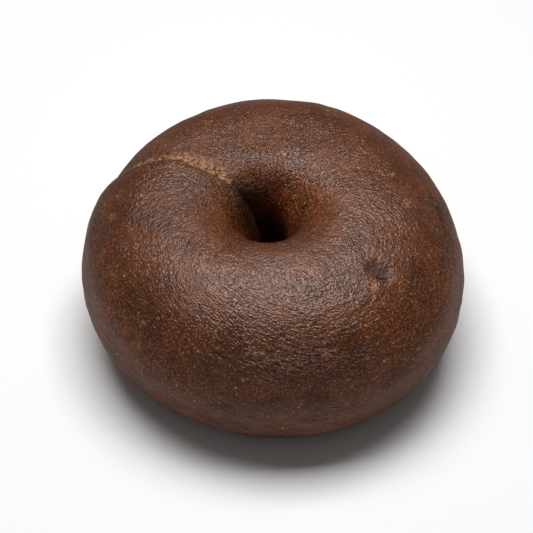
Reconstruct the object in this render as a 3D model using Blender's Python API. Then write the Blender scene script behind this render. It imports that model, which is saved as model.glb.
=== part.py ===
"""A dark rye bagel: one rope of dough joined into a ring, with the join showing.

+Z is up, the base is at Z = 0, and the origin is under the middle of the outline.
-Y is the front, and the ring angle runs anticlockwise from +X, seen from above.
The section angle runs from the outer wall (0) over the crest (90) to the hole (180)
and round the base (270). Lengths are in metres.

Four loops round the ring carry the form: the outline, the crest, the throat of the
hole and the middle of the base. Each has its own radius and centre, because the hole
slants down to the front left.
"""

import math

import bpy
from mathutils import Matrix, Vector

# Driving dimensions
WIDTH = 0.108                 # across the outline
HEIGHT = 0.0515               # base to crest
WIDEST_AT = 0.024             # height of the outline and of the throat

# Centres of the loops, seen from above, and radii of all but the outline
OUTLINE_CENTRE = Vector((0, 0, 0))
CREST_RADIUS = 0.0262
CREST_CENTRE = Vector((-0.0018, 0, 0))
THROAT_RADIUS = 0.0052
THROAT_CENTRE = Vector((-0.0008, -0.0030, 0))
BASE_RADIUS = 0.029
BASE_CENTRE = Vector((0, 0, 0))

# Power of the wall's curve from the crest to the throat: the lower, the fuller
FUNNEL = 0.64
FUNNEL_FRONT = 0.24           # more than that at the front, and less at the back

# The lower half of the section is drawn this much deeper, then flattened at the base
BASE_DEPTH = 1.25
BASE_ROUNDING = 0.004         # height over which the wall turns into the flat base

# How the outline leaves a true circle: lobes round the ring, height, ring angle of a crest
OUTLINE_WAVES = (
    (1, 0.0030, math.radians(-71)),
    (2, 0.0003, math.radians(-62)),
    (3, 0.0009, math.radians(-44)),
)

# The join. Its line leans across the rope, and the front end laps over the back one.
JOIN_ANGLE = math.radians(153.5)   # ring angle at the crest
JOIN_LEAN = math.radians(12.5)
JOIN_SWIRL = math.radians(34)      # how much further it turns inside the hole
LIP_HEIGHT = 0.0008           # the front end stands this proud beside the join
LIP_IN_HOLE = 0.0026          # how much prouder its nose stands inside the hole
LIP_ROUNDING = 0.0014         # how far the lip takes to round over
LIP_REACH = 0.013             # how far from the join the end stays fuller
GAP_DEPTH = 0.0007            # of the crease under the lip
GAP_IN_HOLE = 0.0022          # how much deeper it is in the hole
GAP_OUTSIDE = 0.0007          # how much deeper it is at the outer wall
GAP_REACH = 0.0035            # over which the back end climbs out of the crease

# Heights where the join is gone and where it is still whole, as sines of the section angle
JOIN_ENDS_IN_HOLE = (-0.45, 0.30)
JOIN_ENDS_OUTSIDE = (-0.95, -0.40)

# A pit in the skin, on the right of the front
PIT_RING = math.radians(317.5)
PIT_SECTION = math.radians(63)
PIT_DEPTH = 0.0010
PIT_RADIUS = 0.0026

# The mesh
RING_STEPS = 100
SECTION_STEPS = 46
CROWDING = 0.62               # how much closer the steps are at the join
CROWDED_ANGLE = math.radians(32)


def clear_scene():
    for item in list(bpy.data.objects):
        bpy.data.objects.remove(item, do_unlink=True)


def crowded(turn):
    """The turn from the join, from -pi to pi, with the steps drawn together at the join."""
    bell = 0.5 * math.sqrt(math.pi) * CROWDED_ANGLE
    full = math.pi - CROWDING * bell * math.erf(math.pi / CROWDED_ANGLE)
    return (turn - CROWDING * bell * math.erf(turn / CROWDED_ANGLE)) * math.pi / full


def inwards(section):
    """0 on the outer half of the section, rising to 1 at the throat."""
    return max(0.0, -math.cos(section))


def outwards(section):
    """0 on the inner half of the section, rising to 1 at the outline."""
    return max(0.0, math.cos(section))


def join_angle(section):
    return JOIN_ANGLE + JOIN_LEAN * math.cos(section) - JOIN_SWIRL * inwards(section) ** 3


def join_left(section):
    """1 on the skin that shows, falling to 0 down the hole and on the underside."""
    gone, whole = JOIN_ENDS_OUTSIDE if math.cos(section) > 0 else JOIN_ENDS_IN_HOLE
    share = (math.sin(section) - gone) / (whole - gone)
    share = min(1.0, max(0.0, share))
    return share * share * (3 - 2 * share)


def join_relief(distance, section):
    """Height of the skin over the smooth ring, by distance from the join; the lip is at plus."""
    gap = GAP_DEPTH + GAP_IN_HOLE * inwards(section) ** 2 + GAP_OUTSIDE * outwards(section)
    if distance < 0:
        return -gap * math.exp(distance / (GAP_REACH * (1 + outwards(section))))
    lip = LIP_HEIGHT + LIP_IN_HOLE * inwards(section) ** 3
    lip *= math.exp(-((distance / LIP_REACH) ** 2))
    return lip - (lip + gap) * math.exp(-distance / LIP_ROUNDING)


def pit_relief(point):
    far = (point - skin_point(PIT_RING, PIT_SECTION)).length
    return -PIT_DEPTH * math.exp(-((far / PIT_RADIUS) ** 2))


def rested(height):
    """Levels what would lie under the table and rounds the corner above it."""
    if height <= -BASE_ROUNDING:
        return 0.0
    if height >= BASE_ROUNDING:
        return height
    return (height + BASE_ROUNDING) ** 2 / (4 * BASE_ROUNDING)


def outline_radius(ring):
    waves = sum(size * math.cos(lobes * (ring - crest)) for lobes, size, crest in OUTLINE_WAVES)
    return WIDTH / 2 + waves


def skin_point(ring, section):
    """The smooth skin, before the join, the pit and the table change it."""
    across = math.cos(section)
    up = math.sin(section)

    # The point lies between one of the two spines, crest or base, and one of the two edges.
    if up >= 0:
        spine_radius, spine_centre = CREST_RADIUS, CREST_CENTRE
        rise = (HEIGHT - WIDEST_AT) * up
    else:
        spine_radius, spine_centre = BASE_RADIUS, BASE_CENTRE
        rise = WIDEST_AT * BASE_DEPTH * up
    if across >= 0:
        edge_radius, edge_centre = outline_radius(ring), OUTLINE_CENTRE
        share = across
    else:
        edge_radius, edge_centre = THROAT_RADIUS, THROAT_CENTRE
        share = -across
        if up > 0:
            share = share ** (FUNNEL - FUNNEL_FRONT * math.sin(ring))
    radius = spine_radius + (edge_radius - spine_radius) * share
    centre = spine_centre.lerp(edge_centre, share)
    return centre + Vector((radius * math.cos(ring), radius * math.sin(ring), WIDEST_AT + rise))


def bagel_point(turn, section):
    """One point of the bagel, with its relief raised off the smooth skin."""
    away = crowded(turn)
    ring = join_angle(section) + away
    point = skin_point(ring, section)
    relief = join_relief(away * math.hypot(point.x, point.y), section) * join_left(section)
    relief += pit_relief(point)
    across = relief * math.cos(section)
    point += Vector((across * math.cos(ring), across * math.sin(ring), relief * math.sin(section)))
    point.z = rested(point.z)
    return point


def rope_material():
    crust = bpy.data.materials.new("dark_rye_crust")
    crust.use_nodes = True
    shader = crust.node_tree.nodes["Principled BSDF"]
    shader.inputs["Base Color"].default_value = (0.095, 0.027, 0.008, 1)
    shader.inputs["Roughness"].default_value = 0.55
    shader.inputs["Metallic"].default_value = 0
    return crust


def make_bagel():
    bpy.ops.mesh.primitive_torus_add(
        major_segments=RING_STEPS,
        minor_segments=SECTION_STEPS,
        major_radius=BASE_RADIUS,
        minor_radius=BASE_RADIUS - THROAT_RADIUS,
    )
    bagel = bpy.context.object
    bagel.name = "bagel"
    bagel.data.name = "bagel"
    for vertex in bagel.data.vertices:
        x, y, z = vertex.co
        turn = math.atan2(y, x)
        section = math.atan2(z, math.hypot(x, y) - BASE_RADIUS)
        vertex.co = bagel_point(turn, section)
    bagel.data.materials.append(rope_material())
    bagel.data.shade_smooth()
    return bagel


def centre_outline(bagel):
    """Moves the mesh so that the middle of its outline is over the origin."""
    xs = [vertex.co.x for vertex in bagel.data.vertices]
    ys = [vertex.co.y for vertex in bagel.data.vertices]
    middle = Vector(((min(xs) + max(xs)) / 2, (min(ys) + max(ys)) / 2, 0))
    bagel.data.transform(Matrix.Translation(-middle))


def put_in_collection(bagel):
    parts = bpy.data.collections.new("dark_rye_bagel")
    bpy.context.scene.collection.children.link(parts)
    for holder in list(bagel.users_collection):
        holder.objects.unlink(bagel)
    parts.objects.link(bagel)


clear_scene()
bagel = make_bagel()
centre_outline(bagel)
put_in_collection(bagel)
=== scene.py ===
import math

import bpy
import numpy as np
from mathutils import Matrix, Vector, noise


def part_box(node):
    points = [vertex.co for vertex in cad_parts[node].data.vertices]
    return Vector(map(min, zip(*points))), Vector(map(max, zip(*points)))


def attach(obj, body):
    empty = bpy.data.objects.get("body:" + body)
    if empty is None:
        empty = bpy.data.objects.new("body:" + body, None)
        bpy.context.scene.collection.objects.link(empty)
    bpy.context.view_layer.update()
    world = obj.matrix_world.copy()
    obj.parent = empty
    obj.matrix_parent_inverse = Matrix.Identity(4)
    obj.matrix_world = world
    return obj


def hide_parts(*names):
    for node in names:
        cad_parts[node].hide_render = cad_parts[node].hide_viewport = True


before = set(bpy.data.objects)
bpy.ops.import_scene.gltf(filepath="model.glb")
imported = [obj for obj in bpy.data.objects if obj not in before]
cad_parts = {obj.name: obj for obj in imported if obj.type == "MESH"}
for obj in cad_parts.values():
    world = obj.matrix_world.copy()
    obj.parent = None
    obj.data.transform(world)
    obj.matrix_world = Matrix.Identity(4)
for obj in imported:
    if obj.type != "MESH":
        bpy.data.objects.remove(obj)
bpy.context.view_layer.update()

ringForm = {
    "width": 0.108,
    "height": 0.0515,
    "widestAt": 0.024,
    "crestRadius": 0.0262,
    "crestCentre": (-0.0018, 0.0),
    "throatRadius": 0.0052,
    "throatCentre": (-0.0008, -0.0030),
    "baseRadius": 0.029,
    "funnel": 0.64,              # power of the wall's curve from the crest to the throat
    "funnelFront": 0.24,         # more than that at the front, and less at the back
    "baseDepth": 1.25,
    "baseRounding": 0.004,
    # number of lobes, size, ring angle of a crest
    "outlineWaves": ((1, 0.0030, -71), (2, 0.0003, -62), (3, 0.0009, -44)),
}

joinForm = {
    "ring": 153.5,               # ring angle at the crest
    "lean": 12.5,
    "swirl": 34,                 # how much further it turns inside the hole
    "lipHeight": 0.0008,
    "lipInHole": 0.0026,
    "lipRounding": 0.0010,
    "lipReach": 0.013,
    "gapDepth": 0.0008,
    "gapInHole": 0.0022,
    "gapOutside": 0.0007,
    "gapReach": 0.0035,
    "endsInHole": (-0.45, 0.30),       # gone and whole, as sines of the section angle
    "endsOutside": (-0.95, -0.40),
    "nearJoin": 12,              # mm, the largest distance from the join that is stored
    # how far the torn crumb shows behind the lip: section angle, mm
    "crumbWidth": ((-40, 0.6), (10, 2.2), (42, 3.6), (65, 2.4), (78, 2.3), (87, 3.8), (94, 4.8),
                   (101, 4.2), (108, 2.5), (116, 1.0), (124, 0.3), (130, 0.0)),
}

meshForm = {
    "ringSteps": 256,
    "sectionSteps": 190,
    "startRadius": 0.030,        # of the torus whose points are moved to the skin
    "startSection": 0.020,
    "crowding": 0.62,            # how much closer the columns are at the join
    "crowdedAngle": 32,
    "topShare": 0.30,            # how much closer the rows are on the crest than under the base
    "ropeRadius": 0.026,         # of the rope's UV maps, along the ring and round the section
    "sectionRadius": 0.024,
}

# Patterns in the relief: height in mm, waves to the metre, and a shift that sets them apart
reliefForm = {
    "lumps": (0.30, 75, 3.1),
    "smallLumps": (0.16, 170, 8.3),
    "folds": (0.13, 420, 0.0),
    "ripples": (0.08, 420, 4.0),
    "dimples": (0.06, 330, 5.5),
    "crackle": (0.38, 480, 2.2),
    "torn": (0.34, 700, 6.6),
    "foldStretch": 0.17,         # folds lie along the rope and ripples across it
    "rippleStretch": 0.26,
    "foldsEverywhere": 0.35,
    "foldsOnWall": 0.65,
    "foldsLowFront": 1.1,
    "dimplesOnLip": 1.5,
    "calmJoin": 1.2,             # mm beside the join
    "tornEdge": (0.0, -0.6),     # mm from the join where the torn crumb begins and is whole
    "tornEnd": (1.15, 0.85),     # in shares of the crumb's width
    "leastCrumb": 0.1,           # mm
    "pressed": 0.22,             # depth beside the thin lines
    "pressedReach": 0.75,        # mm
}

# Thin lines pressed into the crust, as ring and section angles, with depth and half width in mm
lineMarks = [
    {"path": ((220.5, 93), (222.5, 87), (225, 82)), "depth": 0.9, "width": 0.34},
    {"path": ((53, 92), (57, 98), (64, 105), (72, 112)), "depth": 0.6, "width": 0.24},
    {"path": ((62, 92), (67, 99), (73, 105)), "depth": 0.4, "width": 0.24},
    {"path": ((43, 52), (31, 49), (14, 48), (359, 41), (347, 35), (336, 26), (324, 20)),
     "depth": 0.8, "width": 0.45},
    {"path": ((12, 34), (357, 27), (346, 18), (339, 9)), "depth": 0.7, "width": 0.40},
    {"path": ((322, 24), (313, 18), (308, 11), (301, 8)), "depth": 0.7, "width": 0.40},
    {"path": ((206, 5), (209, 3), (216, 3), (221, 2), (229, -6)), "depth": 0.9, "width": 0.35},
    {"path": ((251, -8), (257, -10), (262, -12)), "depth": 0.9, "width": 0.34},
    {"path": ((266, -13), (271, -10), (277, -11)), "depth": 0.8, "width": 0.30},
    {"path": ((282, -8), (289, -7), (297, -9)), "depth": 0.7, "width": 0.32},
    {"path": ((235, -8), (241, -11), (247, -12)), "depth": 0.6, "width": 0.30},
    {"path": ((314.8, 62), (316.0, 60.2), (318.0, 58.2), (319.6, 57.0)), "depth": 2.2, "width": 0.42},
]

lineEnds = (0.02, 0.98)          # where a line is faintest, as shares of its length
lineFar = 9.0                    # mm, the largest distance from a line that is stored
plainLine = 0.3                  # mm, the half width that is stored there

# the pit's dent; the dark grey round it is partly a stain and partly painted shade in the dent
pitMark = {"from": (317.4, 65.5), "to": (319.0, 61), "depth": 0.0010, "radius": 0.0020,
           "stain": 0.0013}
crackles = [
    {"from": (273.5, 34.5), "to": (287, 33), "reach": 0.0026},
    {"from": (264, 38), "to": (268, 37), "reach": 0.0016},
]

# Small marks as ring angle, section angle and radius in mm
pores = ((23.9, 98, 0.30), (54, 91, 0.38), (268, 40, 0.25))
branSpots = (
    (311.5, 59, 1.3), (227.6, 33, 0.9), (12.1, 70, 0.8), (356.7, 64, 1.2), (75, 87, 0.8),
    (207, 40, 0.8), (174, 67, 0.5), (182, 72, 0.6), (178, 55, 0.6), (186, 51, 0.9),
    (201.5, 54, 0.6), (207, 54, 0.7), (206.5, 62, 0.6), (210, 87, 0.5), (218.5, 68, 0.5),
    (351, 71, 0.6), (348, 69, 0.6), (329, 57, 0.6), (337.6, 47, 0.5), (315.6, 29, 0.7),
    (0.2, 74, 0.5),
)
poreReach = 2.5                  # how far the field round a mark runs, in its radii
spotReach = 2.0

# Where the crust is painted darker or lighter, partly its own baked tone and partly painted shade and
# painted light, most of all in the hole: ring angle, section angle, reach in mm, factor
toneAndShadePatches = (
    (172, 68, 14, 0.80), (153, 40, 12, 0.85), (214, 45, 9, 0.84), (195, 38, 8, 0.90),
    (91, 74, 9, 0.84), (31, 92, 9, 1.10), (347, 106, 10, 1.16), (319, 89, 10, 1.08),
    (272, 82, 12, 1.14), (329, 54, 7, 0.90), (40, 135, 7, 1.45), (2, 135, 6, 1.2),
    (150, 136, 4.5, 0.32), (168, 146, 3.5, 0.45), (72, 150, 6, 2.2), (30, 150, 5, 1.8),
    (352, 147, 4, 0.6), (230, 128, 5, 1.2), (100, 143, 4, 1.5), (80, 166, 5, 0.4),
    (300, 106, 6, 0.72), (271, 106, 5, 0.84), (250, 107, 4, 0.88), (186, 121, 5, 1.50),
    (217, 123, 3, 1.2), (120, 62, 14, 0.90), (55, 62, 14, 0.92), (20, 70, 12, 0.90),
    (350, 62, 13, 0.88), (305, 128, 5, 0.82), (300, 140, 4, 0.85), (212, 2, 14, 1.40),
    (328, 5, 10, 1.15), (248, -8, 10, 1.18), (254, 18, 9, 0.84), (285, 18, 10, 0.83),
    (270, 37, 8, 0.83), (271, 49, 7, 0.93),
)
lowWall = {"sections": (34, 8), "factor": 1.60}


def smooth(low, high, value):
    # from 0 at low to 1 at high
    share = np.clip((value - low) / (high - low), 0, 1)
    return share * share * (3 - 2 * share)


def inwards(section):
    return np.maximum(0, -np.cos(section))


def outwards(section):
    return np.maximum(0, np.cos(section))


def skinPoints(ringAngle, section):
    # the smooth ring: each point lies between the crest or the base and the outline or the throat
    form = ringForm
    across, up = np.cos(section), np.sin(section)
    upper, outer = up >= 0, across >= 0
    outline = form["width"] / 2
    for lobes, size, crest in form["outlineWaves"]:
        outline = outline + size * np.cos(lobes * (ringAngle - math.radians(crest)))
    spineRadius = np.where(upper, form["crestRadius"], form["baseRadius"])
    edgeRadius = np.where(outer, outline, form["throatRadius"])
    rise = np.where(upper, form["height"] - form["widestAt"], form["widestAt"] * form["baseDepth"]) * up
    power = np.where(upper & ~outer, form["funnel"] - form["funnelFront"] * np.sin(ringAngle), 1.0)
    share = np.abs(across) ** power
    radius = spineRadius + (edgeRadius - spineRadius) * share
    centre = []
    for axis in (0, 1):
        spine = np.where(upper, form["crestCentre"][axis], 0.0)
        edge = np.where(outer, 0.0, form["throatCentre"][axis])
        centre.append(spine + (edge - spine) * share)
    x = centre[0] + radius * np.cos(ringAngle)
    y = centre[1] + radius * np.sin(ringAngle)
    return np.stack((x, y, form["widestAt"] + rise), axis=-1)


def onSkin(ringDegrees, sectionDegrees):
    return skinPoints(np.radians(float(ringDegrees)), np.radians(float(sectionDegrees)))


def crowded(turn):
    # the turn from the join, with the columns drawn together there
    reach = math.radians(meshForm["crowdedAngle"])
    bell = 0.5 * math.sqrt(math.pi) * reach * meshForm["crowding"]
    erf = np.vectorize(math.erf)
    full = math.pi - bell * math.erf(math.pi / reach)
    return (turn - bell * erf(turn / reach)) * math.pi / full


def joinAngle(section):
    lean = math.radians(joinForm["lean"]) * np.cos(section)
    swirl = math.radians(joinForm["swirl"]) * inwards(section) ** 3
    return math.radians(joinForm["ring"]) + lean - swirl


def joinRelief(distance, section):
    # height of the skin by its distance from the join, with the lip at plus
    form = joinForm
    inner, outer = inwards(section), outwards(section)
    gap = form["gapDepth"] + form["gapInHole"] * inner ** 2 + form["gapOutside"] * outer
    lip = form["lipHeight"] + form["lipInHole"] * inner ** 3
    lip = lip * np.exp(-((distance / form["lipReach"]) ** 2))
    behind = -gap * np.exp(np.minimum(distance, 0) / (form["gapReach"] * (1 + outer)))
    before = lip - (lip + gap) * np.exp(-np.maximum(distance, 0) / form["lipRounding"])
    up = np.sin(section)
    left = np.where(outer > 0, smooth(*form["endsOutside"], up), smooth(*form["endsInHole"], up))
    return np.where(distance < 0, behind, before) * left


def rested(height):
    # levels what would lie under the table and rounds the corner above it
    rounding = ringForm["baseRounding"]
    turned = (height + rounding) ** 2 / (4 * rounding)
    return np.where(height <= -rounding, 0, np.where(height >= rounding, height, turned))


def segmentDistance(points, start, end):
    # how far each point is from the segment, and how far along it
    along = end - start
    share = np.clip(((points - start) @ along) / (along @ along), 0, 1)
    return np.linalg.norm(points - (start + share[:, None] * along), axis=1), share


def lineFields(points, normals):
    # mm to the nearest line, plus on one side and minus on the other, so that the line stays
    # sharp between the points; the line's half width in mm; and how deep it is there
    nearest = np.full(len(points), lineFar)
    width = np.full(len(points), plainLine)
    strength = np.zeros(len(points))
    for mark in lineMarks:
        stops = [onSkin(*stop) for stop in mark["path"]]
        count = len(stops) - 1
        for i in range(count):
            distance, share = segmentDistance(points, stops[i], stops[i + 1])
            along = (stops[i + 1] - stops[i]) / np.linalg.norm(stops[i + 1] - stops[i])
            side = np.einsum("ij,ij->i", np.cross(normals, along), points - stops[i])
            closer = distance * 1000 < np.abs(nearest)
            place = np.clip((i + share) / count, *lineEnds)
            nearest = np.where(closer, distance * 1000 * np.where(side < 0, -1, 1), nearest)
            width = np.where(closer, mark["width"], width)
            strength = np.where(closer, mark["depth"] * np.sqrt(np.sin(np.pi * place)), strength)
    return nearest, width, strength


def noiseAt(points, scale, shift):
    offset = Vector((shift, 1.7 * shift, -shift))
    return np.array([noise.noise(Vector(p) * scale + offset) for p in points])


def bumps(points, pattern):
    # one pattern of reliefForm
    height, scale, shift = pattern
    return height * noiseAt(points, scale, shift)


def markField(skin, mark, reach):
    # 1 along a short mark, falling off over the reach
    far = segmentDistance(skin, onSkin(*mark["from"]), onSkin(*mark["to"]))[0]
    return np.exp(-((far / reach) ** 2))


def mmFrom(skin, ringDegrees, sectionDegrees):
    return np.linalg.norm(skin - onSkin(ringDegrees, sectionDegrees), axis=1) * 1000


def spotField(skin, spots, reach):
    # 1 in the middle of each spot, down to 0 at reach times its radius
    field = np.zeros(len(skin))
    for ringDegrees, sectionDegrees, radius in spots:
        far = mmFrom(skin, ringDegrees, sectionDegrees)
        field = np.maximum(field, 1 - far / (reach * radius))
    return field


def toneAndShade(skin, upper):
    # painted tone: lighter low on the wall, then each patch, partly the crust's baked tone and partly
    # painted shade and painted light
    tone = 1 + (lowWall["factor"] - 1) * smooth(*lowWall["sections"], upper)
    for ringDegrees, sectionDegrees, reach, factor in toneAndShadePatches:
        far = mmFrom(skin, ringDegrees, sectionDegrees)
        tone = tone * (1 + (factor - 1) * np.exp(-((far / reach) ** 2)))
    return tone


def window(edges, value):
    # 1 between the middle two edges, down to 0 at the outer ones
    return smooth(edges[0], edges[1], value) * smooth(edges[3], edges[2], value)


# Where each zone of the crust begins and is whole, or begins, is whole, begins to fade and is
# gone: section angles where nothing else is said. Facing is the cosine of the angle round
# the ring from the zone's middle.
zoneForm = {
    "underside": (0.0016, 0.0002),     # heights
    "wall": (42, 16),
    "side": (46, 22),
    "sideFacing": (0.25, 0.75),
    "frontTurn": 140,                  # from the join to the middle of the front
    "frontFacing": (0.15, 0.75),
    "lowFront": (16, 4),
    "lowFrontFacing": (0.3, 0.8),
    "crosswiseCrest": (30, 60),        # where the waves run across the rope
    "crosswiseHole": (118, 140),
    "frontLip": (94, 102, 124, 140),   # of the hole
    "frontLipFacing": (-0.1, 0.6),
    "polished": (90, 98, 110, 120),
    "polishedRing": 60,
    "polishedFacing": (0.1, 0.6),
    "holeWall": (110, 132),
    "holeDepth": (140, 172, 190, 215),
    "ruggedWall": (-80, -50, 34, 60),
    "ruggedHole": (98, 124, 215, 250),
    "dull": (0, 10, 28, 42),           # the band low on the front that reflects least
    "dullRing": (242, 256, 298, 312),
    "dullCalm": 0.4,                   # how much less rugged it is
    # painted sheen: a greyer brown low on the wall, reaching higher at the left and right
    "sheenFade": (-4, 14),
    "dustTop": 10,                     # up to where the wall gets the painted sheen
    "sheenClimb": 18,                   # how much higher that is at the left and right
    "sheenFacing": (0.6, 0.95),
    "crumb": (-60, -30, 124, 138),
    "crevice": (108, 138, 185, 210),
    "creviceBack": (-6.5, -1.0),       # mm from the join
    "creviceFront": (0.3, 0.0),
    "creviceShift": 2.2,               # mm by which its front is further on in the hole
    "creviceShifted": (112, 128),
}

# How strong the finest relief is: everywhere, and what each zone adds
reliefEverywhere = 1.3
reliefInZones = {"front": -0.3, "side": -0.5, "dull": 0.6, "polished": -0.3, "holeWall": 1.0,
                 "crackle": 0.7, "frontLip": 1.0, "lowFront": 0.9}
undersideCalm = 0.6              # how much weaker it is under the base

# How the lay of the dough is slanted and arched, by the turn from the join in radians
layForm = {
    "slants": ((0.6, -1.47, 0.61), (-0.4, -0.42, 0.35)),     # size, turn, reach
    "arch": 0.5,
    "archFrom": 1.2,
    "archMiddle": 2.4,
}


def readVectors(mesh, name):
    values = np.empty(len(mesh.vertices) * 3)
    mesh.vertices.foreach_get(name, values)
    return values.reshape(-1, 3)


def startMesh():
    # a plain torus, with the turn from the join and the section angle of each point
    form = meshForm
    bpy.ops.object.select_all(action="DESELECT")
    bpy.ops.mesh.primitive_torus_add(
        major_segments=form["ringSteps"], minor_segments=form["sectionSteps"],
        major_radius=form["startRadius"], minor_radius=form["startSection"], generate_uvs=False)
    crust = bpy.context.object
    crust.name = "ryeCrust"
    crust.data.name = "ryeCrust"
    start = readVectors(crust.data, "co")
    turn = np.arctan2(start[:, 1], start[:, 0])
    row = np.arctan2(start[:, 2], np.hypot(start[:, 0], start[:, 1]) - form["startRadius"])
    return crust, crowded(turn), row + form["topShare"] * np.cos(row)


def mainForm(skin, ringAngle, section, distance):
    # the skin with the join and the pit, over the middle of the frame's box
    outward = np.stack((np.cos(section) * np.cos(ringAngle),
                        np.cos(section) * np.sin(ringAngle), np.sin(section)), axis=-1)
    relief = joinRelief(distance, section)
    relief = relief - pitMark["depth"] * markField(skin, pitMark, pitMark["radius"])
    points = skin + outward * relief[:, None]
    points[:, 2] = rested(points[:, 2])
    low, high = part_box("bagel")
    middle = (points.min(axis=0) + points.max(axis=0)) / 2
    points += np.array(((low.x + high.x) / 2 - middle[0], (low.y + high.y) / 2 - middle[1], 0))
    return points


def crustZones(skin, heights, ringAngle, sectionDegrees, away, mm):
    # fields over the skin, from 0 to 1 but for the crumb's width in mm and the tone, a factor
    form = zoneForm
    zone = {}
    upper = np.minimum(sectionDegrees, 90)
    toFront = -np.sin(ringAngle)
    toSide = np.abs(np.cos(ringAngle))
    zone["underside"] = smooth(*form["underside"], heights)
    zone["wall"] = smooth(*form["wall"], upper) * (1 - zone["underside"])
    zone["side"] = smooth(*form["side"], upper) * smooth(*form["sideFacing"], toSide)
    zone["front"] = smooth(*form["frontFacing"], np.cos(away - math.radians(form["frontTurn"])))
    zone["lowFront"] = smooth(*form["lowFront"], upper) * smooth(*form["lowFrontFacing"], toFront)
    crest = smooth(*form["crosswiseCrest"], sectionDegrees) * (1 - zone["front"]) * (1 - zone["wall"])
    zone["crosswise"] = np.clip(crest + smooth(*form["crosswiseHole"], sectionDegrees), 0, 1)
    zone["crackle"] = np.zeros(len(skin))
    for patch in crackles:
        zone["crackle"] = np.maximum(zone["crackle"], markField(skin, patch, patch["reach"]))
    crumbWidth = np.interp(sectionDegrees, *zip(*joinForm["crumbWidth"]))
    zone["crumbWidth"] = crumbWidth * window(form["crumb"], sectionDegrees)
    front = mm - form["creviceShift"] * smooth(*form["creviceShifted"], sectionDegrees)
    crevice = smooth(*form["creviceFront"], front) * smooth(*form["creviceBack"], mm)
    zone["crevice"] = window(form["crevice"], sectionDegrees) * crevice
    zone["holeWall"] = smooth(*form["holeWall"], sectionDegrees) * (1 - zone["crevice"])
    zone["holeDepth"] = window(form["holeDepth"], sectionDegrees)
    lip = window(form["frontLip"], sectionDegrees)
    zone["frontLip"] = lip * smooth(*form["frontLipFacing"], toFront)
    toPolished = np.cos(ringAngle - math.radians(form["polishedRing"]))
    polished = window(form["polished"], sectionDegrees)
    zone["polished"] = polished * smooth(*form["polishedFacing"], toPolished)
    ringDegrees = np.degrees(ringAngle) % 360
    zone["dull"] = window(form["dull"], sectionDegrees) * window(form["dullRing"], ringDegrees)
    rugged = window(form["ruggedWall"], upper) * (1 - form["dullCalm"] * zone["dull"])
    zone["rugged"] = np.maximum(rugged, window(form["ruggedHole"], sectionDegrees))
    # the painted sheen low on the wall, reaching higher at the left and right
    dustTop = form["dustTop"] + form["sheenClimb"] * smooth(*form["sheenFacing"], toSide)
    zone["dusty"] = smooth(*form["sheenFade"], dustTop - upper) * (1 - zone["underside"])
    zone["tone"] = toneAndShade(skin, upper)
    return zone


def fineRelief(skin, zone, mm, lineDistance, lineStrength, along, around):
    # heights in mm: soft lumps, folds on the outer wall, ripples, cracks, creases, torn crumb
    form = reliefForm
    flat = np.zeros(len(skin))
    lumps = bumps(skin, form["lumps"]) + bumps(skin, form["smallLumps"])
    folds = bumps(np.stack((along * form["foldStretch"], around, flat), axis=-1), form["folds"])
    ripples = bumps(np.stack((along, around * form["rippleStretch"], flat), axis=-1), form["ripples"])
    folded = form["foldsEverywhere"] + form["foldsOnWall"] * zone["wall"]
    folded += form["foldsLowFront"] * zone["lowFront"]
    fine = folds * folded * (1 - zone["crosswise"])
    fine += ripples * zone["crosswise"]
    fine += bumps(skin, form["dimples"]) * (1 + form["dimplesOnLip"] * zone["frontLip"])
    fine += bumps(skin, form["crackle"]) * zone["crackle"]
    fine = fine * (1 - np.exp(-((mm / form["calmJoin"]) ** 2)))
    fine = (fine + lumps) * (1 - zone["underside"])
    fine -= form["pressed"] * lineStrength * np.exp(-((lineDistance / form["pressedReach"]) ** 2))
    share = -mm / np.maximum(zone["crumbWidth"], form["leastCrumb"])
    torn = smooth(*form["tornEdge"], mm) * smooth(*form["tornEnd"], share)
    return fine + torn * bumps(skin, form["torn"])


def makeCrust():
    crust, away, section = startMesh()
    mesh = crust.data
    ringAngle = joinAngle(section) + away
    skin = skinPoints(ringAngle, section)
    distance = away * np.hypot(skin[:, 0], skin[:, 1])
    points = mainForm(skin, ringAngle, section, distance)
    mesh.vertices.foreach_set("co", points.ravel())
    mesh.update()
    normals = readVectors(mesh, "normal")

    print("working out the relief")
    sectionDegrees = (np.degrees(section) + 90) % 360 - 90        # from -90 to 270 under the base
    mm = distance * 1000                                          # from the join, plus in front
    zone = crustZones(skin, points[:, 2], ringAngle, sectionDegrees, away, mm)
    lineDistance, lineWidth, lineStrength = lineFields(skin, normals)
    along = np.where(away < 0, away + 2 * math.pi, away) * meshForm["ropeRadius"]
    around = np.radians(sectionDegrees) * meshForm["sectionRadius"]
    fine = fineRelief(skin, zone, mm, lineDistance, lineStrength, along, around)
    points += normals * (fine / 1000)[:, None]
    points[:, 2] = np.maximum(points[:, 2], 0)
    mesh.vertices.foreach_set("co", points.ravel())

    # what the material reads
    reliefShare = reliefEverywhere + sum(zone[name] * more for name, more in reliefInZones.items())
    fields = {
        "joinDistance": np.clip(mm, -joinForm["nearJoin"], joinForm["nearJoin"]),
        "lineDistance": lineDistance,
        "lineWidth": lineWidth,
        "lineStrength": lineStrength,
        "pitNearness": markField(skin, pitMark, pitMark["stain"]),
        "poreNearness": spotField(skin, pores, poreReach),
        "branNearness": spotField(skin, branSpots, spotReach),
        "reliefShare": reliefShare * (1 - undersideCalm * zone["underside"]),
        "lowFront": zone["lowFront"] * (1 - zone["underside"]),
    }
    for name in ("crumbWidth", "crevice", "crackle", "crosswise", "rugged", "tone", "dull",
                 "polished", "holeDepth", "dusty"):
        fields[name] = zone[name]
    for name, values in fields.items():
        attribute = mesh.attributes.new(name, "FLOAT", "POINT")
        attribute.data.foreach_set("value", values.astype(np.float32))
    mapRope(mesh, along, around)
    mesh.shade_smooth()
    print("crust mesh:", len(mesh.vertices), "points,", len(mesh.polygons) * 2, "triangles")
    return crust


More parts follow.
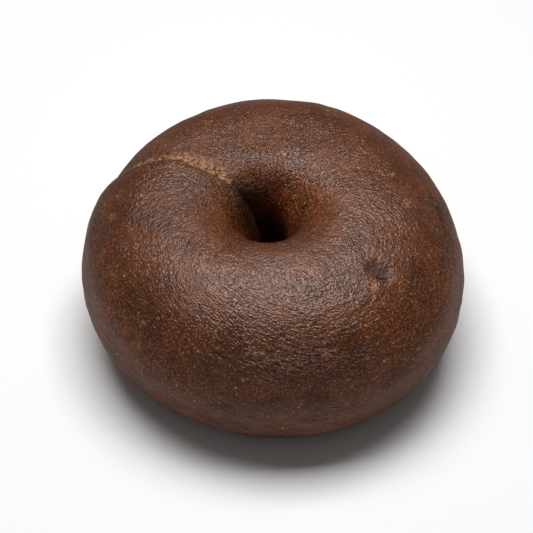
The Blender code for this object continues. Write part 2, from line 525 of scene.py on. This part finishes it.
def mapRope(mesh, along, around):
    # UV map "rope": its seam across is under the join, its seam along is under the base
    form = meshForm
    corners = np.empty(len(mesh.loops), dtype=np.int64)
    mesh.loops.foreach_get("vertex_index", corners)
    corners = corners.reshape(-1, 4)
    u, v = along[corners], around[corners]
    uSpan = 2 * math.pi * form["ropeRadius"]
    vSpan = 2 * math.pi * form["sectionRadius"]
    u = np.where(u.max(axis=1, keepdims=True) - u > uSpan / 2, u + uSpan, u)
    v = np.where(v.max(axis=1, keepdims=True) - v > vSpan / 2, v + vSpan, v)
    writeMap(mesh, "rope", u, v)

    # UV map "lay": the same, slanted and arched as the dough was rolled
    turned = u / form["ropeRadius"]
    back = np.where(turned > math.pi, turned - 2 * math.pi, turned)
    slant = sum(size * np.exp(-(((back - turn) / reach) ** 2))
                for size, turn, reach in layForm["slants"])
    bent = np.maximum(turned, layForm["archFrom"]) - layForm["archMiddle"]
    arch = layForm["arch"] * form["sectionRadius"] * bent ** 2
    writeMap(mesh, "lay", u - slant * (v - vSpan / 4), v - arch)


def writeMap(mesh, name, u, v):
    layer = mesh.uv_layers.new(name=name)
    layer.data.foreach_set("uv", np.stack((u, v), axis=-1).astype(np.float32).ravel())


# Colours are linear red, green and blue, and a tint is multiplied into the colour under it
crustFinish = {
    "darkBrown": (0.074, 0.0188, 0.0041),
    "redBrown": (0.125, 0.0338, 0.0078),
    "branTan": (0.38, 0.185, 0.075),
    "crumbTan": (0.42, 0.205, 0.092),
    "crumbDark": (0.135, 0.052, 0.020),
    "crumbShade": (0.38, 0.30, 0.26),
    "lipEdge": (0.22, 0.080, 0.022),
    # painted sheen low on the wall
    "sheenBrown": (0.20, 0.11, 0.08),
    # partly a grey stain, partly painted shade in the pit's dent
    "pitGrey": (0.018, 0.010, 0.008),
    # painted shade in the crevice and the pores
    "poreAndCreviceShade": (0.012, 0.0030, 0.0007),
    # partly the crust's grain, partly painted shade in gaps and painted light on dome tops
    "darkGritAndShade": (0.42, 0.37, 0.33),
    "paleGritAndLight": (2.0, 2.05, 1.90),
    # partly paler blistered crust, partly a painted grey sheen on the crack ridges
    "crackedPale": (2.4, 3.2, 5.5),
    # painted: darker and warmer, standing for less grey reflection on the dull band
    "lessReflectionTint": (1.0, 0.93, 0.45),
    # painted shade in the thin lines
    "lineTint": (0.30, 0.26, 0.24),
    # painted shade deep in the hole
    "deepHoleShade": (1.15, 0.62, 0.30),
    "spotStrength": 0.7,
    "pitStrength": 0.85,
    "lipStrength": 0.6,
    "creviceStrength": 0.85,
    "faintestFleck": 0.15,
    "roughness": 0.33,
    "roughnessSpread": 0.05,
    "crumbRoughness": 0.15,      # added to the crust's, as are those of the fields
    "fieldRoughness": {"dull": 0.22, "crackle": 0.20, "polished": -0.10, "pitNearness": 0.35},
    "refraction": 1.5,
    "reliefDepth": 0.00047,      # what a height of 1 in the relief stands for
    "domeScale": 1500,
    "leastDome": 0.4,
    "domeInGrit": 0.4,
    "calmGrit": 0.36,            # how strong the grit is on the crest, with 1 on the walls
    "lengthStretch": 0.66,       # of the drawn waves, along the rope and across it
    "crossStretch": 0.54,
    "crackSpan": 2.0,            # of the noise whose zero line is a crack
    "raggedSpan": 5.0,           # mm by which the crumb's edge wanders
    "spotSpan": 4.0,
    "leastCrumb": 0.05,          # mm
    "lipMiddle": 0.10,           # mm in front of the join
}

# Heights in the finest relief
crustHeights = {"even": 0.6, "drawn": 1.05, "dome": 0.14, "line": -0.20, "poreHole": -0.45,
                "cracksHere": 0.6, "crumbRough": 1.5, "crumbHoles": -0.5}

# Noise as scale, detail and roughness
crustNoise = {
    "drawn": (780, 2.0, 0.85),
    "even": (1000, 2.0, 0.85),
    "grit": (3000, 1.0, 0.5),
    "browns": (110, 3.0, 0.6),
    "cracks": (520, 1.0, 0.55),
    "ragged": (620, 3.0, 0.65),
    "crumbRough": (900, 2.0, 0.95),
    "crumbHoles": (850, 2.0, 0.8),
    "lineGaps": (420, 1.0, 0.5),
    "spotEdge": (1000, 3.0, 0.8),
    "sheenStreaks": (320, 2.0, 0.5),
    "gloss": (60, 2.0, 0.5),
}

# Where each mask begins and is full, and for the streaks of painted sheen also how strong it is there
crustMasks = {
    "dome": (0.75, 0.10),
    "browns": (0.33, 0.67),
    "darkGritAndShade": (0.42, 0.28),
    "paleGritAndLight": (0.45, 0.62),
    "darkWaves": (0.47, 0.30),
    "paleWaves": (0.55, 0.75),
    "paleCracks": (0.08, 0.28),
    "darkCracks": (0.08, 0.02),
    "crumbEnd": (1.20, 0.35),
    "crumbStart": (-0.05, 0.12),
    "crumbFades": (0.15, 0.9),
    "crumbPale": (0.40, 0.62),
    "crumbHoles": (0.47, 0.30),
    "line": (1.0, 0.15),
    "lineGaps": (0.36, 0.56),
    "lip": (0.34, 0.05),
    "lipFades": (0.1, 0.8),
    "poreHole": (0.55, 0.72),
    "spot": (0.30, 1.0),
    "sheenStreaks": (0.35, 0.62, 0.25, 0.62),
    "gloss": (0.3, 0.7),
}

# Layers of bran flecks: scale, largest radius, share of empty cells, strength
flecks = ((640, 0.22, 0.30, 0.9), (1300, 0.38, 0.30, 0.50), (180, 0.10, 0.60, 1.0),
          (430, 0.23, 0.40, 1.0))
fleckShape = {"least": 0.35, "core": 0.45}       # smallest radius and full core, as shares


class Wiring:
    # short names for adding and joining nodes in one tree, where they stand in rows
    rowLength = 12
    spacing = (180, -220)

    def __init__(self, tree):
        self.tree = tree
        self.count = 0

    def add(self, kind, **settings):
        node = self.tree.nodes.new(kind)
        self.count += 1
        row, column = divmod(self.count, self.rowLength)
        node.location = (self.spacing[0] * column, self.spacing[1] * row)
        for name, value in settings.items():
            setattr(node, name, value)
        return node

    def put(self, socket, value):
        if isinstance(value, bpy.types.NodeSocket):
            self.tree.links.new(value, socket)
        elif socket.type == "RGBA":
            socket.default_value = (*value, 1)
        else:
            socket.default_value = value

    def math(self, operation, *values):
        node = self.add("ShaderNodeMath", operation=operation)
        for socket, value in zip(node.inputs, values):
            self.put(socket, value)
        return node.outputs[0]

    def times(self, first, second):
        return self.math("MULTIPLY", first, second)

    def plus(self, first, factor, base):
        # first * factor + base
        return self.math("MULTIPLY_ADD", first, factor, base)

    def field(self, name):
        return self.add("ShaderNodeAttribute", attribute_name=name).outputs["Fac"]

    def ramp(self, value, low, high, toLow=0.0, toHigh=1.0):
        node = self.add("ShaderNodeMapRange", interpolation_type="SMOOTHSTEP")
        for socket, given in zip(node.inputs, (value, low, high, toLow, toHigh)):
            self.put(socket, given)
        return node.outputs[0]

    def noise(self, vector, scale, detail, roughness):
        node = self.add("ShaderNodeTexNoise")
        self.put(node.inputs["Vector"], vector)
        node.inputs["Scale"].default_value = scale
        node.inputs["Detail"].default_value = detail
        node.inputs["Roughness"].default_value = roughness
        return node.outputs["Fac"]

    def cells(self, vector, scale):
        node = self.add("ShaderNodeTexVoronoi", feature="F1")
        self.put(node.inputs["Vector"], vector)
        self.put(node.inputs["Scale"], scale)
        chances = self.add("ShaderNodeSeparateColor")
        self.put(chances.inputs[0], node.outputs["Color"])
        return node.outputs["Distance"], chances.outputs

    def split(self, vector):
        node = self.add("ShaderNodeSeparateXYZ")
        self.put(node.inputs[0], vector)
        return node.outputs

    def join(self, x, y):
        node = self.add("ShaderNodeCombineXYZ")
        self.put(node.inputs[0], x)
        self.put(node.inputs[1], y)
        return node.outputs[0]

    def mixValues(self, share, first, second):
        node = self.add("ShaderNodeMix", data_type="FLOAT")
        for index, value in ((0, share), (2, first), (3, second)):
            self.put(node.inputs[index], value)
        return node.outputs[0]

    def mix(self, share, first, second, blend="MIX"):
        node = self.add("ShaderNodeMix", data_type="RGBA", blend_type=blend)
        for index, value in ((0, share), (6, first), (7, second)):
            self.put(node.inputs[index], value)
        return node.outputs[2]

    def tinted(self, share, colour, tint):
        return self.mix(share, colour, tint, "MULTIPLY")


def makeFlecksGroup():
    # bran flecks: round dots of uneven size, one to a cell and some cells empty
    group = bpy.data.node_groups.new("branFlecks", "ShaderNodeTree")
    for name in ("Scale", "Largest", "Empty"):
        group.interface.new_socket(name, in_out="INPUT", socket_type="NodeSocketFloat")
    group.interface.new_socket("Place", in_out="INPUT", socket_type="NodeSocketVector")
    for name in ("Mask", "Chance"):
        group.interface.new_socket(name, in_out="OUTPUT", socket_type="NodeSocketFloat")
    nodes = Wiring(group)
    given = nodes.add("NodeGroupInput").outputs
    out = nodes.add("NodeGroupOutput")
    distance, chances = nodes.cells(given["Place"], given["Scale"])
    filled = nodes.math("GREATER_THAN", chances[0], given["Empty"])
    share = nodes.plus(chances[1], 1 - fleckShape["least"], fleckShape["least"])
    size = nodes.times(given["Largest"], share)
    dot = nodes.ramp(distance, size, nodes.times(size, fleckShape["core"]))
    nodes.put(out.inputs["Mask"], nodes.times(dot, filled))
    nodes.put(out.inputs["Chance"], chances[2])
    return group


def noiseMask(nodes, name, place):
    return nodes.ramp(nodes.noise(place, *crustNoise[name]), *crustMasks[name])


def noiseSwing(nodes, name, place, span):
    # noise as wide as the span, with 0 in its middle
    return nodes.plus(nodes.noise(place, *crustNoise[name]), span, -span / 2)


def crustPatterns(nodes):
    # the patterns and masks that the colour, the gloss and the relief share
    finish, masks = crustFinish, crustMasks
    place = nodes.add("ShaderNodeTexCoord").outputs["Object"]
    rope = nodes.split(nodes.add("ShaderNodeUVMap", uv_map="rope").outputs["UV"])
    lay = nodes.split(nodes.add("ShaderNodeUVMap", uv_map="lay").outputs["UV"])
    lengthPlace = nodes.join(nodes.times(rope[0], finish["lengthStretch"]), lay[1])
    crossPlace = nodes.join(lay[0], nodes.times(rope[1], finish["crossStretch"]))
    crumbWidth = nodes.field("crumbWidth")
    joinDistance = nodes.field("joinDistance")
    shared = {"place": place, "lengthPlace": lengthPlace}

    # waves drawn out along the lay of the dough, even ones, and small domes
    alongRope = nodes.noise(lengthPlace, *crustNoise["drawn"])
    acrossRope = nodes.noise(crossPlace, *crustNoise["drawn"])
    shared["drawn"] = nodes.mixValues(nodes.field("crosswise"), alongRope, acrossRope)
    shared["even"] = nodes.noise(place, *crustNoise["even"])
    domeDistance, chances = nodes.cells(place, finish["domeScale"])
    domeSize = nodes.plus(chances[0], 1 - finish["leastDome"], finish["leastDome"])
    shared["dome"] = nodes.times(nodes.ramp(domeDistance, *masks["dome"]), domeSize)

    # cracks: sharp valleys between round ridges
    shared["cracks"] = nodes.math("ABSOLUTE", noiseSwing(nodes, "cracks", place, finish["crackSpan"]))
    shared["cracksHere"] = nodes.times(shared["cracks"], nodes.field("crackle"))

    # torn crumb behind the lip
    behind = nodes.times(joinDistance, -1.0)
    ragged = nodes.math("ADD", behind, noiseSwing(nodes, "ragged", place, finish["raggedSpan"]))
    share = nodes.math("DIVIDE", ragged, nodes.math("MAXIMUM", crumbWidth, finish["leastCrumb"]))
    crumb = nodes.times(nodes.ramp(share, *masks["crumbEnd"]), nodes.ramp(behind, *masks["crumbStart"]))
    shared["crumb"] = nodes.times(crumb, nodes.ramp(crumbWidth, *masks["crumbFades"]))
    shared["crumbRough"] = nodes.noise(place, *crustNoise["crumbRough"])
    shared["crumbHoles"] = noiseMask(nodes, "crumbHoles", place)

    # thin lines, the lip's edge, pores
    fromLine = nodes.math("ABSOLUTE", nodes.field("lineDistance"))
    near = nodes.math("DIVIDE", fromLine, nodes.field("lineWidth"))
    line = nodes.times(nodes.ramp(near, *masks["line"]), nodes.field("lineStrength"))
    shared["line"] = nodes.times(line, noiseMask(nodes, "lineGaps", place))
    fromLip = nodes.math("ABSOLUTE", nodes.math("ADD", joinDistance, -finish["lipMiddle"]))
    lip = nodes.ramp(fromLip, *masks["lip"])
    shared["lip"] = nodes.times(lip, nodes.ramp(crumbWidth, *masks["lipFades"]))
    shared["poreHole"] = nodes.ramp(nodes.field("poreNearness"), *masks["poreHole"])
    return shared


def crustColour(nodes, shared):
    finish, masks = crustFinish, crustMasks
    place = shared["place"]
    colour = nodes.mix(noiseMask(nodes, "browns", place), finish["darkBrown"], finish["redBrown"])

    # fine grit, dark and pale: partly the crust's own grain, partly painted shade in the gaps between
    # the small domes and painted light on their tops; strongest where the crust is rugged
    domes = nodes.times(shared["dome"], finish["domeInGrit"])
    grit = nodes.plus(nodes.noise(place, *crustNoise["grit"]), 1 - finish["domeInGrit"], domes)
    gritShare = nodes.plus(nodes.field("rugged"), 1 - finish["calmGrit"], finish["calmGrit"])
    for tint in ("darkGritAndShade", "paleGritAndLight"):
        share = nodes.times(nodes.ramp(grit, *masks[tint]), gritShare)
        colour = nodes.tinted(share, colour, finish[tint])
    # painted: the dull band is made darker and warmer, standing for less grey reflection there
    colour = nodes.tinted(nodes.field("dull"), colour, finish["lessReflectionTint"])

    # the waves low on the front and the cracks, each with painted light on its ridges and painted shade
    # in its valleys; the cracks' ridges are also paler blistered crust
    for pattern, mask, field, tint in (
            ("drawn", "darkWaves", "lowFront", "darkGritAndShade"),
            ("drawn", "paleWaves", "lowFront", "paleGritAndLight"),
            ("cracks", "paleCracks", "crackle", "crackedPale"),
            ("cracks", "darkCracks", "crackle", "darkGritAndShade")):
        share = nodes.times(nodes.ramp(shared[pattern], *masks[mask]), nodes.field(field))
        colour = nodes.tinted(share, colour, finish[tint])
    colour = addFlecks(nodes, place, colour)

    # the crust's tone, partly its own baked tone and partly painted shade and painted light, and the
    # painted sheen low on the wall
    grey = nodes.add("ShaderNodeCombineColor")
    for socket in grey.inputs[:3]:
        nodes.put(socket, nodes.field("tone"))
    colour = nodes.tinted(1.0, colour, grey.outputs[0])
    # painted sheen: a greyer, lighter brown in streaks low on the wall
    paintedSheen = nodes.times(nodes.field("dusty"), noiseMask(nodes, "sheenStreaks", shared["lengthPlace"]))
    colour = nodes.mix(paintedSheen, colour, finish["sheenBrown"])

    # the pit, partly a grey stain and partly painted shade in its dent; painted shade in the thin
    # lines; the torn crumb with its lip; painted shade in the crevice and in the pore holes
    pit = nodes.times(nodes.field("pitNearness"), finish["pitStrength"])
    colour = nodes.mix(pit, colour, finish["pitGrey"])
    # painted shade in the thin lines pressed into the crust
    colour = nodes.tinted(nodes.math("MINIMUM", shared["line"], 1.0), colour, finish["lineTint"])
    pale = nodes.ramp(shared["crumbRough"], *masks["crumbPale"])
    crumbColour = nodes.mix(pale, finish["crumbDark"], finish["crumbTan"])
    crumbColour = nodes.tinted(shared["crumbHoles"], crumbColour, finish["crumbShade"])
    colour = nodes.mix(shared["crumb"], colour, crumbColour)
    colour = nodes.mix(nodes.times(shared["lip"], finish["lipStrength"]), colour, finish["lipEdge"])
    # painted shade in the crevice of the join inside the hole
    crevice = nodes.times(nodes.field("crevice"), finish["creviceStrength"])
    colour = nodes.mix(crevice, colour, finish["poreAndCreviceShade"])
    # painted shade in the pore holes
    colour = nodes.mix(shared["poreHole"], colour, finish["poreAndCreviceShade"])
    # painted shade deep down in the hole
    return nodes.tinted(nodes.field("holeDepth"), colour, finish["deepHoleShade"])


def addFlecks(nodes, place, colour):
    # layers of small flecks over the whole crust, and the larger spots at their places
    finish = crustFinish
    flecksGroup = makeFlecksGroup()
    for scale, largest, empty, strength in flecks:
        dots = nodes.add("ShaderNodeGroup", node_tree=flecksGroup)
        given = {"Scale": scale, "Largest": largest, "Empty": empty, "Place": place}
        for name, value in given.items():
            nodes.put(dots.inputs[name], value)
        shade = nodes.ramp(dots.outputs["Chance"], 0.0, 1.0, finish["faintestFleck"], strength)
        colour = nodes.mix(nodes.times(dots.outputs["Mask"], shade), colour, finish["branTan"])
    edge = noiseSwing(nodes, "spotEdge", place, finish["spotSpan"])
    spot = nodes.ramp(nodes.math("ADD", nodes.field("branNearness"), edge), *crustMasks["spot"])
    return nodes.mix(nodes.times(spot, finish["spotStrength"]), colour, finish["branTan"])


def crustRoughness(nodes, shared):
    finish = crustFinish
    middle, spread = finish["roughness"], finish["roughnessSpread"]
    gloss = nodes.noise(shared["place"], *crustNoise["gloss"])
    rough = nodes.ramp(gloss, *crustMasks["gloss"], middle - spread, middle + spread)
    rough = nodes.plus(shared["crumb"], finish["crumbRoughness"], rough)
    for name, added in finish["fieldRoughness"].items():
        rough = nodes.plus(nodes.field(name), added, rough)
    return nodes.math("MINIMUM", rough, 1.0)


def crustBump(nodes, shared):
    # relief finer than the mesh
    heights = crustHeights
    height = nodes.times(shared["drawn"], heights["drawn"])
    for name in ("even", "dome", "line", "poreHole", "cracksHere"):
        height = nodes.plus(shared[name], heights[name], height)
    holes = nodes.times(shared["crumbHoles"], heights["crumbHoles"])
    torn = nodes.plus(shared["crumbRough"], heights["crumbRough"], holes)
    bump = nodes.add("ShaderNodeBump")
    depth = nodes.times(nodes.field("reliefShare"), crustFinish["reliefDepth"])
    nodes.put(bump.inputs["Distance"], depth)
    nodes.put(bump.inputs["Height"], nodes.mixValues(shared["crumb"], height, torn))
    return bump.outputs[0]


def makeCrustMaterial():
    crustMaterial = bpy.data.materials.new("ryeCrust")
    crustMaterial.use_nodes = True
    tree = crustMaterial.node_tree
    shader = tree.nodes["Principled BSDF"]
    nodes = Wiring(tree)
    shared = crustPatterns(nodes)
    nodes.put(shader.inputs["Base Color"], crustColour(nodes, shared))
    nodes.put(shader.inputs["Roughness"], crustRoughness(nodes, shared))
    nodes.put(shader.inputs["Normal"], crustBump(nodes, shared))
    shader.inputs["IOR"].default_value = crustFinish["refraction"]
    print("crust material:", len(tree.nodes), "nodes")
    return crustMaterial


crust = makeCrust()
crust.data.materials.append(makeCrustMaterial())
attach(crust, "root")
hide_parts("bagel")

studio = {
    "tableSize": 6,
    "tableTone": 0.85,
    "reflectedTone": 0.20,        # of the table as the crust reflects it
    "tableRoughness": 0.6,
    "lookAt": Vector((-0.00035, 0.0022, 0.026)),
    "lampDirection": Vector((-0.018, 0.16, 1)),
    "lampDistance": 0.7,
    "lampSize": (0.53, 0.33),
    "lampWatts": 6.15,
    "skyTone": 0.13,
    "cameraHeight": 48,           # degrees above the table
    "cameraDistance": 0.55,
    "sensorWidth": 36,            # mm
    "picturePixels": 533,         # the picture is square
    "pixelsPerMetre": 3506,       # at the point looked at
    "lookAtPixel": (271.5, 251.5),
}


def makeTable():
    bpy.ops.object.select_all(action="DESELECT")
    bpy.ops.mesh.primitive_plane_add(size=studio["tableSize"])
    table = bpy.context.object
    table.name = "table"
    tableMaterial = bpy.data.materials.new("paleTable")
    tableMaterial.use_nodes = True
    shader = tableMaterial.node_tree.nodes["Principled BSDF"]
    nodes = Wiring(tableMaterial.node_tree)
    reflected = nodes.add("ShaderNodeLightPath").outputs["Is Glossy Ray"]
    tone = nodes.mixValues(reflected, studio["tableTone"], studio["reflectedTone"])
    nodes.put(shader.inputs["Base Color"], tone)
    shader.inputs["Roughness"].default_value = studio["tableRoughness"]
    table.data.materials.append(tableMaterial)


def makeLight():
    world = bpy.data.worlds.new("studioSky")
    world.use_nodes = True
    sky = world.node_tree.nodes["Background"]
    sky.inputs["Color"].default_value = (*(studio["skyTone"],) * 3, 1)
    bpy.context.scene.world = world
    direction = studio["lampDirection"].normalized()
    lamp = bpy.data.lights.new("softbox", "AREA")
    lamp.shape = "RECTANGLE"
    lamp.size, lamp.size_y = studio["lampSize"]
    lamp.energy = studio["lampWatts"]
    softbox = bpy.data.objects.new("softbox", lamp)
    bpy.context.scene.collection.objects.link(softbox)
    softbox.location = studio["lookAt"] + direction * studio["lampDistance"]
    softbox.rotation_euler = direction.to_track_quat("Z", "Y").to_euler()


def makeCamera():
    rise = math.radians(studio["cameraHeight"])
    back = Vector((0, -math.cos(rise), math.sin(rise)))
    lens = bpy.data.cameras.new("photoView")
    camera = bpy.data.objects.new("photoView", lens)
    bpy.context.scene.collection.objects.link(camera)
    camera.location = studio["lookAt"] + back * studio["cameraDistance"]
    camera.rotation_euler = (-back).to_track_quat("-Z", "Y").to_euler()
    pixels = studio["picturePixels"]
    x, y = studio["lookAtPixel"]
    lens.sensor_width = studio["sensorWidth"]
    lens.lens = lens.sensor_width * studio["pixelsPerMetre"] * studio["cameraDistance"] / pixels
    lens.shift_x = (pixels / 2 - x) / pixels
    lens.shift_y = (y - pixels / 2) / pixels
    bpy.context.scene.camera = camera


makeTable()
makeLight()
makeCamera()
bpy.context.scene.view_settings.view_transform = "Standard"
print("table, light and camera set")
